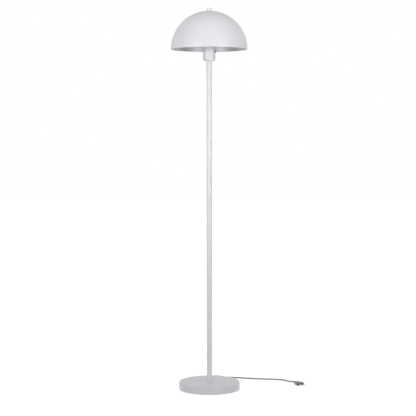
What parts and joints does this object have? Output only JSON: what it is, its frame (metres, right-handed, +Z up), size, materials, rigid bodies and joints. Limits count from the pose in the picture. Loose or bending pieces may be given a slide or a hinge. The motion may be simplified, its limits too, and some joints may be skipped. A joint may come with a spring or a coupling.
{
  "type": "floor lamp",
  "caption": "Floor lamp with a hollow dome shade on a bracket, a straight tube, a lampholder cup with a push switch, a round weighted base and a mains lead.",
  "frame": {"origin": "centre of the base's underside, on the floor", "axes": "+Z up along the pole; -Y is the side seen in the picture and the lead leaves at the back, +Y; the switch button points to +X"},
  "size_m": [0.5338, 0.3644, 1.5],
  "materials": {
    "white_paint": "satin powder coat",
    "cast_iron": "as cast",
    "zinc_steel": "zinc plated",
    "foam": "closed cell foam",
    "grey_pvc": "semi matte",
    "white_nylon": "natural",
    "brass": "plain",
    "black_plastic": "moulded",
    "white_plastic": "moulded",
    "spring_steel": "bright wire",
    "opal_glass": "opal",
    "nickel": "nickel plated",
    "black_strap": "ribbed strap"
  },
  "bodies": {
    "lamp": {"base_cover": "white_paint", "base_weight": "cast_iron", "bottom_plate": "zinc_steel", "plate_screws": "zinc_steel", "foot_pad": "foam", "base_nipple": "zinc_steel", "base_washer": "zinc_steel", "base_nut": "zinc_steel", "cord_bushing": "grey_pvc", "cord_stop": "white_nylon", "pole_lower": "white_paint", "pole_middle": "white_paint", "pole_upper": "white_paint", "pole_bushes": "zinc_steel", "pole_joiners": "zinc_steel", "socket_cup": "white_paint", "harp": "white_paint", "harp_stud": "zinc_steel", "head_nut": "zinc_steel", "head_nipple": "zinc_steel", "shade": "white_paint", "washer_below_shade": "white_nylon", "washer_above_shade": "white_nylon", "lampholder_base": "black_plastic", "lampholder_shell": "white_plastic", "lampholder_insert": "white_plastic", "screw_shell": "brass", "centre_contact": "brass", "terminals": "brass", "switch_block": "black_plastic", "switch_spring": "spring_steel", "supply_cord": "grey_pvc", "cord_cores": "grey_pvc", "cord_lead": "grey_pvc", "cord_coil": "grey_pvc", "cord_tie": "black_strap", "cord_run": "grey_pvc", "plug_body": "grey_pvc", "plug_pins": "nickel"},
    "switch_button": {"switch_button": "black_plastic"},
    "knob": {"knob": "white_paint", "knob_insert": "brass"},
    "bulb": {"bulb_glass": "opal_glass", "bulb_cap": "nickel", "bulb_insulator": "black_plastic", "bulb_tip": "nickel"}
  },
  "joints": [
    {"name": "switch_press", "type": "slide", "parent": "lamp", "child": "switch_button", "axis": [-1, 0, 0], "range_m": [0, 0.0016], "stiffness_N_per_m": 800, "springref_m": -0.0005, "deforming": ["switch_spring"]},
    {"name": "knob_turn", "type": "hinge", "parent": "lamp", "child": "knob", "pos_m": [0, 0, 1.4887], "axis": [0, 0, 1], "continuous": true},
    {"name": "bulb_turn", "type": "hinge", "parent": "lamp", "child": "bulb", "pos_m": [0, 0, 1.36], "axis": [0, 0, 1], "continuous": true}
  ]
}
